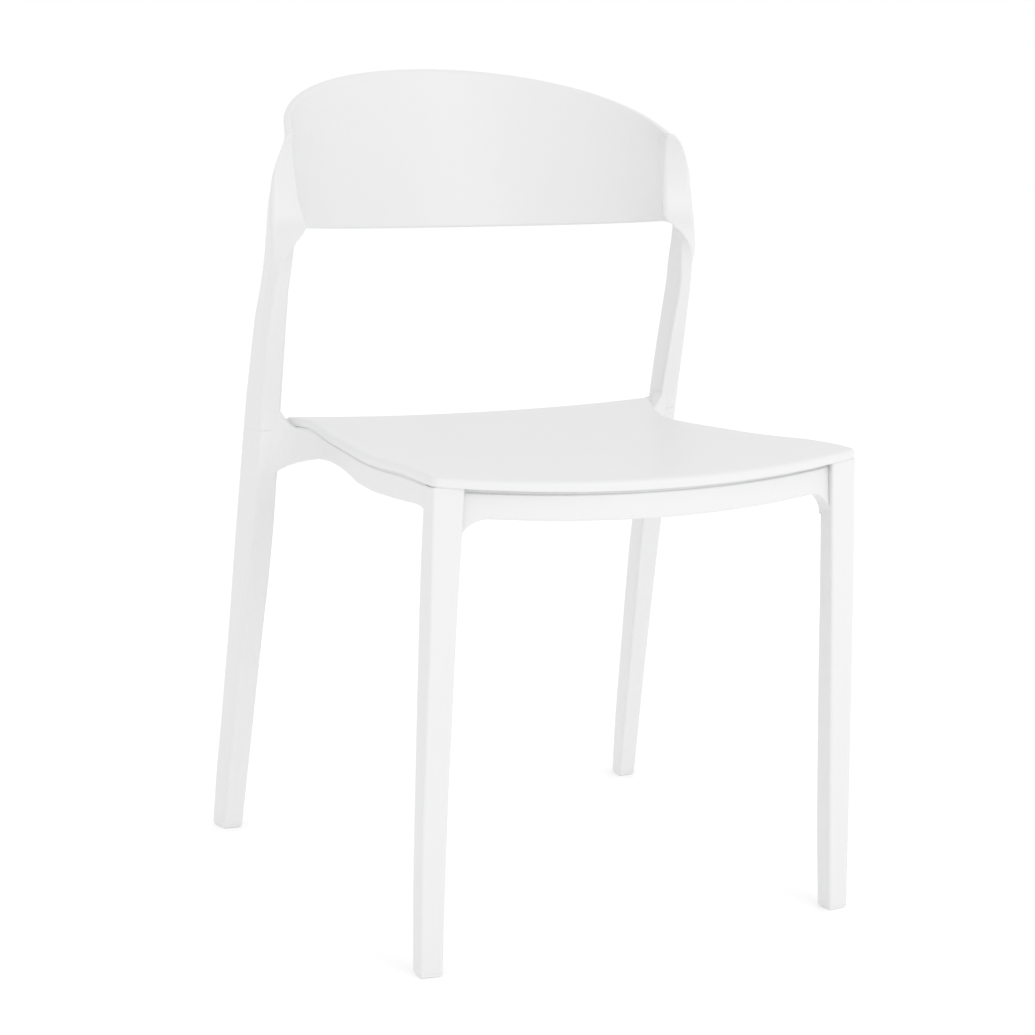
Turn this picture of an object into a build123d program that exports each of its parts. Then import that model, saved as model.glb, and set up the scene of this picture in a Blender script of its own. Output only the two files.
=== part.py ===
from build123d import *
import os
from math import cos, hypot, radians, sin

# White stacking chair: an injection-moulded frame carrying a separate moulded seat panel.
# Frame of reference: X is left-right (the chair is symmetric about X = 0), the sitter faces -Y,
# +Z is up, and the origin is on the floor below the middle of the bounding box. Millimetres.

os.makedirs("parts", exist_ok=True)

# ---- driving dimensions -------------------------------------------------------------------
centring = 8.3               # moves the whole chair in Y, so that the origin is below its middle
seam_height = 449.0          # parting line across the rear posts, at seat level
glide_height = 3.0           # thickness of a foot glide under a leg
corner_radius = 2.5          # rounding of the long edges of the legs
glide_plug_radius = 5.0      # plug of a glide, pressed up into its leg
glide_plug_length = 18.0

band_wall = 7.0              # thickness of the back sheet
band_top_width = 211.0       # half width of the back's top edge, an ellipse in plan
band_top_depth = 164.0       # how far the top edge bows back
band_top_y = 85.0
band_top_height = 814.0
band_top_drop = 70.5         # fall of the top edge from its middle to the shoulder
band_low_width = 203.0       # the same four for the lower edge
band_low_depth = 130.0
band_low_y = 80.0
band_low_height = 646.7
band_low_rise = 7.9
band_end_angle = 84.0        # degrees round the ellipse, from the middle to the shoulder
band_sections = 13
wing_overlap = 0.6           # a wing is drawn this far into the sheet and then cut back to it

seat_front_y = -290.0
seat_corner_y = -259.0
seat_rear_y = 143.0
seat_blank_width = 217.0     # half width of the blank that the plan outline is cut from
seat_rim_height = 9.0
seat_wall = 5.0              # wall of the panel inside its rim
seat_edge_radius = 3.0
rib_width = 3.0
rib_spacing = 60.0
boss_radius = 7.0

rail_wall = 20.0             # thickness of the front rail in plan
seat_gap = 3.0               # shadow gap between the panel's rim and the rails
tab_width = 26.0             # screw tabs of the front and rear rails
tab_thickness = 5.0
tab_height = 427.0           # height of the tabs' lower faces
screw_x = 163.0
screw_front_y = -226.0
screw_rear_y = 122.0
screw_radius = 2.0
screw_clearance = 2.5
screw_head_radius = 4.5
screw_head_height = 2.5
screw_engagement = 7.0       # length of thread in the boss



def shifted(points):
    """Moves a list of (x, y) points by the centring shift."""
    return [(x, y + centring) for x, y in points]


# ---- legs: tapering square sections; corners in order outer front, inner front, inner rear,
#      outer rear -------------------------------------------------------------------------
rear_leg_stations = [
    (glide_height, [(252.6, 247.4), (230.8, 245.0), (235.0, 271.0), (257.0, 273.4)]),
    (120.0, [(247.9, 218.3), (225.9, 216.5), (230.5, 249.2), (252.4, 251.0)]),
    (240.0, [(243.9, 188.0), (220.7, 187.2), (225.6, 222.5), (248.8, 223.4)]),
    (350.0, [(240.6, 158.2), (217.2, 158.8), (224.2, 197.0), (247.5, 196.2)]),
    (seam_height, [(238.7, 132.6), (217.5, 133.8), (224.4, 172.4), (245.4, 171.4)]),
]
front_leg_stations = [
    (glide_height, [(225.1, -248.0), (203.6, -250.4), (202.6, -229.0), (224.1, -226.6)]),
    (120.0, [(223.7, -250.1), (200.0, -251.6), (198.9, -229.0), (222.5, -227.4)]),
    (240.0, [(220.1, -254.4), (195.2, -255.6), (195.4, -231.6), (220.4, -231.0)]),
    (360.0, [(216.6, -257.4), (189.8, -260.0), (191.0, -236.6), (217.8, -234.0)]),
    (442.0, [(214.4, -259.0), (185.6, -263.0), (186.6, -239.6), (215.4, -235.6)]),
]


def foot_centre(stations):
    corners = shifted(stations[0][1])
    x = sum(point[0] for point in corners) / len(corners)
    y = sum(point[1] for point in corners) / len(corners)
    return x, y


rear_foot = foot_centre(rear_leg_stations)
front_foot = foot_centre(front_leg_stations)

with BuildPart() as rear_leg_right:
    for z, points in rear_leg_stations:
        with BuildSketch(Plane.XY.offset(z)) as section:
            with BuildLine():
                Polyline(*shifted(points), close=True)
            make_face()
            fillet(section.vertices(), corner_radius)
    loft()
    with BuildSketch(Plane.XY.offset(glide_height)):
        with Locations(rear_foot):
            Circle(glide_plug_radius)
    extrude(amount=glide_plug_length, mode=Mode.SUBTRACT)

with BuildPart() as front_leg_right:
    for z, points in front_leg_stations:
        with BuildSketch(Plane.XY.offset(z)) as section:
            with BuildLine():
                Polyline(*shifted(points), close=True)
            make_face()
            fillet(section.vertices(), corner_radius)
    loft()
    with BuildSketch(Plane.XY.offset(glide_height)):
        with Locations(front_foot):
            Circle(glide_plug_radius)
    extrude(amount=glide_plug_length, mode=Mode.SUBTRACT)

# ---- foot glides: a pad the size of the leg's end, with a plug pressed up into the leg --------


def glide_outline(stations, inset):
    """The leg's end outline, drawn in towards its centre."""
    centre = foot_centre(stations)
    scale = 1 - inset / 11.0
    return [
        (centre[0] + (x - centre[0]) * scale, centre[1] + (y - centre[1]) * scale)
        for x, y in shifted(stations[0][1])
    ]


with BuildPart() as glide_rear_right:
    for z, inset in ((0.0, 1.6), (1.2, 0.4), (glide_height, 0.0)):
        with BuildSketch(Plane.XY.offset(z)) as section:
            with BuildLine():
                Polyline(*glide_outline(rear_leg_stations, inset), close=True)
            make_face()
            fillet(section.vertices(), corner_radius)
    loft(ruled=True)
    with BuildSketch(Plane.XY.offset(glide_height)):
        with Locations(rear_foot):
            Circle(glide_plug_radius)
    extrude(amount=glide_plug_length)

with BuildPart() as glide_front_right:
    for z, inset in ((0.0, 1.6), (1.2, 0.4), (glide_height, 0.0)):
        with BuildSketch(Plane.XY.offset(z)) as section:
            with BuildLine():
                Polyline(*glide_outline(front_leg_stations, inset), close=True)
            make_face()
            fillet(section.vertices(), corner_radius)
    loft(ruled=True)
    with BuildSketch(Plane.XY.offset(glide_height)):
        with Locations(front_foot):
            Circle(glide_plug_radius)
    extrude(amount=glide_plug_length)

# ---- back: a thin sheet, bowed round the sitter and leaning back -----------------------------


def band_top_point(share):
    """A point of the top front edge; share runs from -1 at one shoulder to 1 at the other."""
    angle = radians(share * band_end_angle)
    x = band_top_width * sin(angle)
    y = band_top_y + band_top_depth * cos(angle)
    return x, y + centring, band_top_height - band_top_drop * share**2


def band_low_point(share):
    """The point of the lower front edge below band_top_point."""
    angle = radians(share * band_end_angle)
    x = band_low_width * sin(angle)
    y = band_low_y + band_low_depth * cos(angle)
    return x, y + centring, band_low_height + band_low_rise * share**2


def band_outward(share):
    """Horizontal direction from the front of the sheet to its back."""
    angle = radians(share * band_end_angle)
    x = sin(angle) / (band_top_width + band_low_width)
    y = cos(angle) / (band_top_depth + band_low_depth)
    return x / hypot(x, y), y / hypot(x, y)


with BuildPart() as backrest:
    for index in range(band_sections):
        share = 2 * index / (band_sections - 1) - 1
        low = Vector(*band_low_point(share))
        rise = Vector(*band_top_point(share)) - low
        outward = Vector(*band_outward(share), 0)
        section = Plane(origin=low, x_dir=outward, z_dir=outward.cross(rise))
        lean = rise.dot(outward)
        height = rise.dot(section.y_dir)
        with BuildSketch(section):
            with BuildLine():
                Polyline(
                    (0, 0), (band_wall, 0), (band_wall + lean, height), (lean, height), close=True
                )
            make_face()
    loft()

# ---- uprights: each post twists as it rises, and its outer side turns forward into a wing
#      that carries the end of the back sheet. Corners in order: inner front, outer front (it
#      sweeps inward as the lip under the back), crest of the wing, outer rear, inner rear.


def wing_station(z, crest, outer_rear, inner_rear):
    """A station beside the back sheet: its first two corners follow the sheet's end."""
    low = band_low_point(1)
    top = band_top_point(1)
    share = (z - low[2]) / (top[2] - low[2])
    x = low[0] + share * (top[0] - low[0]) - wing_overlap
    y = low[1] + share * (top[1] - low[1]) - centring
    outward = band_outward(1)
    inner_front = (x + outward[0] * band_wall, y + outward[1] * band_wall)
    return z, [inner_front, (x, y), crest, outer_rear, inner_rear]


upright_stations = [
    (seam_height, [(217.5, 133.8), (238.7, 132.6), (241.4, 147.5), (245.4, 171.4), (224.4, 172.4)]),
    (480.0, [(217.9, 125.7), (238.5, 125.4), (241.2, 139.0), (244.7, 163.4), (224.0, 163.7)]),
    (520.0, [(218.6, 113.6), (238.1, 115.4), (240.6, 128.0), (242.8, 153.5), (222.8, 150.7)]),
    (560.0, [(219.5, 101.2), (236.7, 104.4), (240.0, 117.0), (240.5, 143.3), (221.8, 136.6)]),
    (590.0, [(220.0, 92.0), (234.4, 94.7), (238.6, 107.0), (236.9, 137.0), (220.8, 127.0)]),
    (610.0, [(218.3, 88.9), (231.8, 87.8), (236.9, 98.5), (234.7, 132.5), (219.4, 119.0)]),
    (624.0, [(217.4, 86.0), (228.4, 82.0), (237.6, 93.0), (233.5, 130.5), (218.9, 114.0)]),
    (634.0, [(216.4, 84.6), (221.0, 79.0), (237.4, 92.2), (232.7, 129.0), (218.8, 112.0)]),
    (643.0, [(214.2, 85.0), (212.0, 78.4), (237.1, 92.6), (232.2, 127.6), (219.4, 111.0)]),
    (649.5, [(211.4, 89.0), (204.6, 84.0), (236.8, 93.0), (232.0, 126.2), (220.4, 112.0)]),
    wing_station(656.0, (236.3, 93.6), (231.9, 124.3), (221.2, 112.8)),
    wing_station(676.0, (234.7, 94.2), (231.5, 118.0), (221.0, 111.6)),
    wing_station(700.0, (232.4, 95.0), (228.9, 110.5), (220.4, 110.0)),
    wing_station(722.0, (226.8, 94.6), (225.4, 102.4), (219.6, 106.4)),
    wing_station(740.0, (219.4, 94.0), (220.6, 96.6), (218.4, 101.6)),
]

with BuildPart() as upright_right:
    for z, points in upright_stations:
        with BuildSketch(Plane.XY.offset(z)):
            with BuildLine():
                Polyline(*shifted(points), close=True)
            make_face()
    loft(ruled=True)
    add(backrest.part, mode=Mode.SUBTRACT)

# ---- seat panel: a dished shell with a rounded rim, ribs and screw bosses --------------------
# Along the seat: y, height of the top surface at the middle, height at the blank's edges.
seat_stations = [
    (-330.0, 443.6, 455.0),
    (-255.0, 444.4, 455.0),
    (-170.0, 442.0, 454.2),
    (-90.0, 439.4, 451.2),
    (-20.0, 439.0, 451.6),
    (40.0, 441.0, 452.0),
    (70.0, 443.6, 453.2),
    (90.0, 446.6, 458.4),
    (107.0, 449.6, 463.4),
    (125.0, 453.2, 463.6),
    (170.0, 460.0, 464.0),
]
seat_side_points = [
    (215.6, seat_corner_y),
    (213.7, -210.0),
    (208.8, -150.0),
    (205.0, -90.0),
    (198.0, -30.0),
    (191.0, 30.0),
    (190.0, 75.0),
    (197.0, 112.0),
    (206.0, 130.0),
]


def dish_arcs(middle, side, thickness):
    """The blank's upper and lower arcs at one station, each as three points."""
    upper = [(-seat_blank_width, side), (0, middle), (seat_blank_width, side)]
    lower = [(x, z - thickness) for x, z in upper]
    return upper, lower


def seat_side(inset):
    return [(x - inset, y + centring) for x, y in seat_side_points]


def mirrored(points):
    return [(-x, y) for x, y in points]


with BuildPart() as seat_blank:
    for y, middle, side in seat_stations:
        upper, lower = dish_arcs(middle, side, seat_rim_height)
        with BuildSketch(Plane.XZ.offset(-y - centring)):
            with BuildLine():
                ThreePointArc(*upper)
                ThreePointArc(*lower)
                Line(upper[0], lower[0])
                Line(upper[2], lower[2])
            make_face()
    loft()
    edge = seat_side(0)
    rear_y = seat_rear_y + centring
    with BuildSketch(Plane.XY.offset(400)):
        with BuildLine():
            ThreePointArc(mirrored(edge)[0], (0, seat_front_y + centring), edge[0])
            Spline(*edge)
            Line(edge[-1], (edge[-1][0], rear_y))
            Line((edge[-1][0], rear_y), (-edge[-1][0], rear_y))
            Line((-edge[-1][0], rear_y), mirrored(edge)[-1])
            Spline(*mirrored(edge))
        make_face()
    extrude(amount=90, mode=Mode.INTERSECT)

# hollow under the panel, crossed by ribs and screw bosses
boss_places = [
    (x, y + centring) for x in (-screw_x, screw_x) for y in (screw_front_y, screw_rear_y)
]
boss_bottom = tab_height + tab_thickness

with BuildPart() as seat_hollow:
    for y, middle, side in seat_stations:
        upper, lower = dish_arcs(middle - seat_wall, side - seat_wall, seat_rim_height)
        with BuildSketch(Plane.XZ.offset(-y - centring)):
            with BuildLine():
                ThreePointArc(*upper)
                ThreePointArc(*lower)
                Line(upper[0], lower[0])
                Line(upper[2], lower[2])
            make_face()
    loft()
    edge = seat_side(5)
    rear_y = seat_rear_y + centring - 5
    with BuildSketch(Plane.XY.offset(400)):
        with BuildLine():
            ThreePointArc(mirrored(edge)[0], (0, seat_front_y + centring + 5), edge[0])
            Spline(*edge)
            Line(edge[-1], (edge[-1][0], rear_y))
            Line((edge[-1][0], rear_y), (-edge[-1][0], rear_y))
            Line((-edge[-1][0], rear_y), mirrored(edge)[-1])
            Spline(*mirrored(edge))
        make_face()
        for index in range(-3, 4):
            with Locations((index * rib_spacing, 0)):
                Rectangle(rib_width, 800, mode=Mode.SUBTRACT)
        for index in range(-4, 3):
            with Locations((0, index * rib_spacing)):
                Rectangle(800, rib_width, mode=Mode.SUBTRACT)
        with Locations(*boss_places):
            Circle(boss_radius, mode=Mode.SUBTRACT)
    extrude(amount=90, mode=Mode.INTERSECT)

with BuildPart() as seat_panel:
    for y, boss_height in ((screw_front_y, 14), (screw_rear_y, 20)):
        with BuildSketch(Plane.XY.offset(boss_bottom)):
            with Locations((-screw_x, y + centring), (screw_x, y + centring)):
                Circle(boss_radius)
        extrude(amount=boss_height)
    add(seat_blank.part)
    add(seat_hollow.part, mode=Mode.SUBTRACT)
    with BuildSketch(Plane.XY.offset(boss_bottom)):
        with Locations(*boss_places):
            Circle(screw_radius)
    extrude(amount=screw_engagement, mode=Mode.SUBTRACT)

# ---- rails of the frame, under the panel with a shadow gap all round -------------------------
# The room that the panel and its gap take out of the rails.
with BuildPart() as seat_room:
    for y, middle, side in seat_stations:
        upper, lower = dish_arcs(middle + 60, side + 60, seat_rim_height + seat_gap + 60)
        with BuildSketch(Plane.XZ.offset(-y - centring)):
            with BuildLine():
                ThreePointArc(*upper)
                ThreePointArc(*lower)
                Line(upper[0], lower[0])
                Line(upper[2], lower[2])
            make_face()
    loft()
    edge = seat_side(-1.4)
    rear_y = seat_rear_y + centring + 2
    with BuildSketch(Plane.XY.offset(400)):
        with BuildLine():
            ThreePointArc(mirrored(edge)[0], (0, seat_front_y + centring - 3), edge[0])
            Spline(*edge)
            Line(edge[-1], (edge[-1][0], rear_y))
            Line((edge[-1][0], rear_y), (-edge[-1][0], rear_y))
            Line((-edge[-1][0], rear_y), mirrored(edge)[-1])
            Spline(*mirrored(edge))
        make_face()
    extrude(amount=200, mode=Mode.INTERSECT)

rear_leg_left = mirror(rear_leg_right.part, about=Plane.YZ)
front_leg_left = mirror(front_leg_right.part, about=Plane.YZ)
upright_left = mirror(upright_right.part, about=Plane.YZ)

# front rail: bowed forward in plan, its lower edge sagging a little, blended down into the legs
with BuildPart() as front_rail:
    end_y = -254.0 + centring
    middle_y = -285.0 + centring
    with BuildSketch(Plane.XY.offset(370)):
        with BuildLine():
            ThreePointArc((-200, end_y), (0, middle_y), (200, end_y))
            ThreePointArc((-200, end_y + 16), (0, middle_y + rail_wall), (200, end_y + 16))
            Line((-200, end_y), (-200, end_y + 16))
            Line((200, end_y), (200, end_y + 16))
        make_face()
    extrude(amount=90)
    with BuildSketch(Plane.XZ):
        with BuildLine():
            ThreePointArc((-160, 414), (0, 408), (160, 414))
            Spline((160, 414), (178, 409), (188, 396), (191, 380), tangents=((1, 0), (0, -1)))
            Line((191, 380), (205, 380))
            Line((205, 380), (205, 460))
            Line((205, 460), (-205, 460))
            Line((-205, 460), (-205, 380))
            Line((-205, 380), (-191, 380))
            Spline((-160, 414), (-178, 409), (-188, 396), (-191, 380), tangents=((-1, 0), (0, -1)))
        make_face()
    extrude(amount=320, mode=Mode.INTERSECT)
    with BuildSketch(Plane.XY.offset(tab_height)):
        for x in (-screw_x, screw_x):
            with Locations((x, screw_front_y + centring - 5)):
                Rectangle(tab_width, 36)
    extrude(amount=tab_thickness)
    with BuildSketch(Plane.XY.offset(tab_height)):
        for x in (-screw_x, screw_x):
            with Locations((x, screw_front_y + centring)):
                Circle(screw_clearance)
    extrude(amount=tab_thickness, mode=Mode.SUBTRACT)
    add(seat_room.part, mode=Mode.SUBTRACT)
    add(front_leg_right.part, mode=Mode.SUBTRACT)
    add(front_leg_left, mode=Mode.SUBTRACT)

# rear rail: straight between the posts, leaning with them, rising behind the panel as a lip
with BuildPart() as rear_rail:
    with BuildSketch(Plane.YZ.offset(-226)):
        with BuildLine():
            Polyline(
                *shifted([(162.0, 388.0), (182.0, 388.0), (154.0, 488.0), (134.0, 488.0)]), close=True
            )
        make_face()
    extrude(amount=452)
    with BuildSketch(Plane.XZ.offset(-120)):
        with BuildLine():
            Line((-194, 418), (194, 418))
            Spline((194, 418), (207, 414.5), (215, 405), (217, 392), tangents=((1, 0), (0, -1)))
            Line((217, 392), (226, 392))
            Line((226, 392), (226, 484))
            Line((226, 484), (218, 484))
            Spline((218, 484), (215, 471.5), (208, 463), (196, 459.6), tangents=((0, -1), (-1, 0)))
            ThreePointArc((196, 459.6), (0, 454.6), (-196, 459.6))
            Spline((-218, 484), (-215, 471.5), (-208, 463), (-196, 459.6), tangents=((0, -1), (1, 0)))
            Line((-218, 484), (-226, 484))
            Line((-226, 484), (-226, 392))
            Line((-226, 392), (-217, 392))
            Spline((-194, 418), (-207, 414.5), (-215, 405), (-217, 392), tangents=((-1, 0), (0, -1)))
        make_face()
    extrude(amount=-120, mode=Mode.INTERSECT)
    with BuildSketch(Plane.XY.offset(tab_height)):
        for x in (-screw_x, screw_x):
            with Locations((x, screw_rear_y + centring + 7)):
                Rectangle(tab_width, 40)
    extrude(amount=tab_thickness)
    with BuildSketch(Plane.XY.offset(tab_height)):
        for x in (-screw_x, screw_x):
            with Locations((x, screw_rear_y + centring)):
                Circle(screw_clearance)
    extrude(amount=tab_thickness, mode=Mode.SUBTRACT)
    add(seat_room.part, mode=Mode.SUBTRACT)
    for post in (rear_leg_right.part, rear_leg_left, upright_right.part, upright_left):
        add(post, mode=Mode.SUBTRACT)

# side rail: follows the panel's waisted edge, then sweeps out to the post's front face
side_outer = [
    (212.5, -242.0),
    (206.8, -150.0),
    (196.0, -30.0),
    (189.0, 30.0),
    (188.6, 70.0),
    (195.0, 101.0),
    (207.0, 122.0),
    (226.0, 139.0),
]
side_inner = [
    (194.0, -242.0),
    (188.0, -150.0),
    (178.0, -30.0),
    (172.0, 30.0),
    (172.0, 70.0),
    (178.0, 100.0),
    (191.0, 123.0),
    (208.0, 143.0),
]
side_lower = [
    (-218.0, 423.0),
    (-140.0, 418.2),
    (-50.0, 414.8),
    (10.0, 417.5),
    (70.0, 422.4),
    (106.0, 420.6),
    (122.0, 415.6),
    (133.0, 406.5),
    (141.0, 395.0),
]
side_upper = [
    (-245.0, 443.2),
    (-90.0, 438.6),
    (10.0, 437.0),
    (60.0, 438.6),
    (88.0, 443.6),
    (106.0, 448.0),
    (136.0, 448.8),
]

with BuildPart() as side_rail_right:
    with BuildSketch(Plane.XY.offset(380)):
        with BuildLine():
            Spline(*shifted(side_outer))
            Line(*shifted([side_outer[-1], (226.0, 150.0)]))
            Line(*shifted([(226.0, 150.0), (208.0, 150.0)]))
            Line(*shifted([(208.0, 150.0), side_inner[-1]]))
            Spline(*shifted(side_inner))
            Line(*shifted([side_inner[0], side_outer[0]]))
        make_face()
    extrude(amount=100)
    with BuildSketch(Plane.YZ.offset(160)):
        with BuildLine():
            Line(*shifted([(-245.0, 410.0), (-234.0, 410.0)]))
            Spline(*shifted([(-234.0, 410.0), (-229.0, 419.0), (-218.0, 423.0)]))
            Spline(*shifted(side_lower))
            Line(*shifted([side_lower[-1], (160.0, 395.0)]))
            Line(*shifted([(160.0, 395.0), (160.0, 448.8)]))
            Line(*shifted([(160.0, 448.8), side_upper[-1]]))
            Spline(*shifted(side_upper))
            Line(*shifted([side_upper[0], (-245.0, 410.0)]))
        make_face()
    extrude(amount=90, mode=Mode.INTERSECT)
    add(seat_room.part, mode=Mode.SUBTRACT)
    for post in (front_leg_right, rear_leg_right, upright_right, rear_rail, front_rail):
        add(post.part, mode=Mode.SUBTRACT)

# ---- seat screws: pan heads under the tabs, threaded into the panel's bosses -----------------
screw_places = [(x, y, tab_height) for x, y in boss_places]

with BuildPart() as seat_screws:
    with Locations(*screw_places):
        Cylinder(screw_radius, tab_thickness + screw_engagement, align=(Align.CENTER, Align.CENTER, Align.MIN))
    with Locations(*screw_places):
        Cylinder(screw_head_radius, screw_head_height, align=(Align.CENTER, Align.CENTER, Align.MAX))
    fillet(seat_screws.edges().group_by(Axis.Z)[0], 1.2)

# ---- hand-in ---------------------------------------------------------------------------
whole = {
    "backrest": backrest.part,
    "seat_panel": seat_panel.part,
    "front_rail": front_rail.part,
    "rear_rail": rear_rail.part,
    "seat_screws": seat_screws.part,
}
paired = {
    "upright": upright_right.part,
    "rear_leg": rear_leg_right.part,
    "front_leg": front_leg_right.part,
    "side_rail": side_rail_right.part,
    "glide_rear": glide_rear_right.part,
    "glide_front": glide_front_right.part,
}
for name, piece in paired.items():
    whole[name + "_right"] = piece
    whole[name + "_left"] = mirror(piece, about=Plane.YZ)
for name, piece in whole.items():
    piece.label = name
    export_step(piece, f"parts/{name}.step")
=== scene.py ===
from math import atan2, cos, hypot, pi, radians, sin, sqrt, tan

import bmesh
import bpy
import numpy as np
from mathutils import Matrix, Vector


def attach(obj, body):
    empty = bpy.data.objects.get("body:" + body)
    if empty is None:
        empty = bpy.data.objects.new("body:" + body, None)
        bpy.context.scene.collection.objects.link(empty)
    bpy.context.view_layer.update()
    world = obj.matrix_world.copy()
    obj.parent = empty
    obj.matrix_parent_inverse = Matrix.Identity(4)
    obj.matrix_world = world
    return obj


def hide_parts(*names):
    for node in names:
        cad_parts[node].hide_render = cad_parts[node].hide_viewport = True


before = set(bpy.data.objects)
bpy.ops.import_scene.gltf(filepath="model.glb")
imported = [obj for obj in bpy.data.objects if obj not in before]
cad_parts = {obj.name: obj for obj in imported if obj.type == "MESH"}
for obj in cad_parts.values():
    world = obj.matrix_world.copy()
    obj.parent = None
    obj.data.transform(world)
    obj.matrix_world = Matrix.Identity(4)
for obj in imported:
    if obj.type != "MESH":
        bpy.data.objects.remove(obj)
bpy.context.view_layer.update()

# Lengths below are in millimetres, and MM turns them to metres. They are measured before the
# centring, which moves the chair in Y so that the origin lies below its middle. Pieces named
# right lie at +X, on the right in the photo, which is the sitter's left.
# The tables below are not worked out from the frame. A scratch solver found many of their values,
# and the camera, from edges read by eye in the photo; the rest were set by eye against renders.
MM = 0.001
CENTRING = 8.3
SEAM = 449.0  # parting line across the rear posts
GLIDE_HEIGHT = 3

# ---- camera, as found from the photo ----------------------------------------------------------
camera_data = bpy.data.cameras.new("camera")
camera = bpy.data.objects.new("camera", camera_data)
bpy.context.scene.collection.objects.link(camera)
camera_data.sensor_width = 36
camera_data.lens = 76.52
camera_data.clip_end = 50
camera.location = Vector((-931.1, -1976.5 + CENTRING, 734.8)) * MM
aim = Vector((-14.583, CENTRING, 364.936)) * MM
camera.rotation_euler = (aim - camera.location).to_track_quat("-Z", "Y").to_euler()
bpy.context.scene.camera = camera


# ---- shape helpers --------------------------------------------------------------------------
def monotone(knots, values, at):
    """Smooth interpolation of each column of values, with no overshoot between the knots."""
    knots = np.asarray(knots, float)
    values = np.asarray(values, float).reshape(len(knots), -1)
    at = np.clip(np.asarray(at, float), knots[0], knots[-1])
    step = np.diff(knots)[:, None]
    slope = np.diff(values, axis=0) / step
    tangent = np.zeros_like(values)
    tangent[0], tangent[-1] = slope[0], slope[-1]
    for i in range(1, len(knots) - 1):
        a, b = slope[i - 1], slope[i]
        wa, wb = 2 * step[i] + step[i - 1], step[i] + 2 * step[i - 1]
        rising = a * b > 0
        a, b = np.where(rising, a, 1), np.where(rising, b, 1)
        tangent[i] = np.where(rising, (wa + wb) / (wa / a + wb / b), 0)
    i = np.clip(np.searchsorted(knots, at, side="right") - 1, 0, len(knots) - 2)
    h = step[i]
    t = (at - knots[i])[:, None] / h
    return (
        (1 + 2 * t) * (1 - t) ** 2 * values[i]
        + t * (1 - t) ** 2 * h * tangent[i]
        + t**2 * (3 - 2 * t) * values[i + 1]
        + t**2 * (t - 1) * h * tangent[i + 1]
    )


def corners_at(rows, z):
    """The corners of a table of rows, each a height and then corners, at one height."""
    flat = [[c for corner in row[1:] for c in corner] for row in rows]
    return monotone([row[0] for row in rows], flat, [z])[0].reshape(-1, 2)


def ease(share):
    """Runs smoothly from 0 to 1, level at both ends."""
    return share * share * (3 - 2 * share)


def clamp(value, low, high):
    return min(max(value, low), high)


def circle(centre, radius, count):
    """Plan points round a circle."""
    turns = [2 * pi * k / count for k in range(count)]
    return [(centre[0] + radius * cos(a), centre[1] + radius * sin(a)) for a in turns]


def both_sides(stations):
    """Stations given from the middle outward, repeated on the other side."""
    return [(-x, a) for x, a in stations[:0:-1]] + stations


def rounded(corners, radii, steps=6, stretch=1.0):
    """The outline through corners with each corner rounded, always with the same number of points.
    stretch makes the rounding taller than it is wide, for a section cut at a slant."""
    corners = [np.array((x, y / stretch), float) for x, y in corners]
    points = []
    for i, corner in enumerate(corners):
        to_last = corners[i - 1] - corner
        to_next = corners[(i + 1) % len(corners)] - corner
        reach = 0.42 * min(np.linalg.norm(to_last), np.linalg.norm(to_next))
        to_last = to_last / np.linalg.norm(to_last)
        to_next = to_next / np.linalg.norm(to_next)
        half = 0.5 * np.arccos(np.clip(to_last.dot(to_next), -0.9999, 0.9999))
        cut = min(radii[i] / tan(half), reach)
        radius = cut * tan(half)
        inward = to_last + to_next
        centre = corner + inward / np.linalg.norm(inward) * hypot(cut, radius)
        start, end = corner + to_last * cut, corner + to_next * cut
        support = min(0.6, 0.3 * reach)
        points.append(start + to_last * support)
        a0 = atan2(*(start - centre)[::-1])
        turn = atan2(*(end - centre)[::-1]) - a0
        turn = (turn + pi) % (2 * pi) - pi
        for k in range(steps + 1):
            a = a0 + turn * k / steps
            points.append(centre + radius * np.array((cos(a), sin(a))))
        points.append(end + to_next * support)
    return [(x, y * stretch) for x, y in points]


def skin(mesh, sections):
    """Adds a tube through the sections, closed at both ends, to a bmesh."""
    rings = [[mesh.verts.new(point) for point in section] for section in sections]
    for low, high in zip(rings, rings[1:]):
        for i in range(len(low)):
            j = (i + 1) % len(low)
            mesh.faces.new((low[i], low[j], high[j], high[i]))
    mesh.faces.new(rings[0])
    mesh.faces.new(rings[-1])


def new_object(name, data):
    piece = bpy.data.objects.new(name, data)
    bpy.context.scene.collection.objects.link(piece)
    return piece


def finish_mesh(name, mesh, sharp):
    """Turns a bmesh drawn in millimetres into an object in metres.
    Edges of more than sharp degrees stay crisp."""
    bmesh.ops.recalc_face_normals(mesh, faces=mesh.faces)
    for vert in mesh.verts:
        vert.co = (vert.co.x * MM, (vert.co.y + CENTRING) * MM, vert.co.z * MM)
    for face in mesh.faces:
        face.smooth = True
    for edge in mesh.edges:
        if len(edge.link_faces) == 2 and edge.calc_face_angle(0) > radians(sharp):
            edge.smooth = False
    data = bpy.data.meshes.new(name)
    mesh.to_mesh(data)
    mesh.free()
    piece = new_object(name, data)
    weighted = piece.modifiers.new("weighted normals", "WEIGHTED_NORMAL")
    weighted.keep_sharp = True
    weighted.weight = 80
    return piece


# ---- back band ------------------------------------------------------------------------------
BAND_END = radians(84)
WALL = 7.0
BAND_HEIGHT = 120.0  # nominal, for spacing the outline of its section
BAND_ROUNDING = [2.6, 2.2, 2.2, 2.6]  # of the section's front low, front top, rear top, rear low
RIDGE_LOW, RIDGE_HIGH = 654.6, 743.6


def band_front(angle, share):
    """A point of the band's front face; share runs from its lower edge to its upper edge."""
    low = np.array((203 * sin(angle), 80 + 130 * cos(angle), 646.7 + 7.9 * (angle / BAND_END) ** 2))
    top = np.array((211 * sin(angle), 85 + 164 * cos(angle), 814 - 70.5 * (angle / BAND_END) ** 2))
    return low + share * (top - low)


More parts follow.
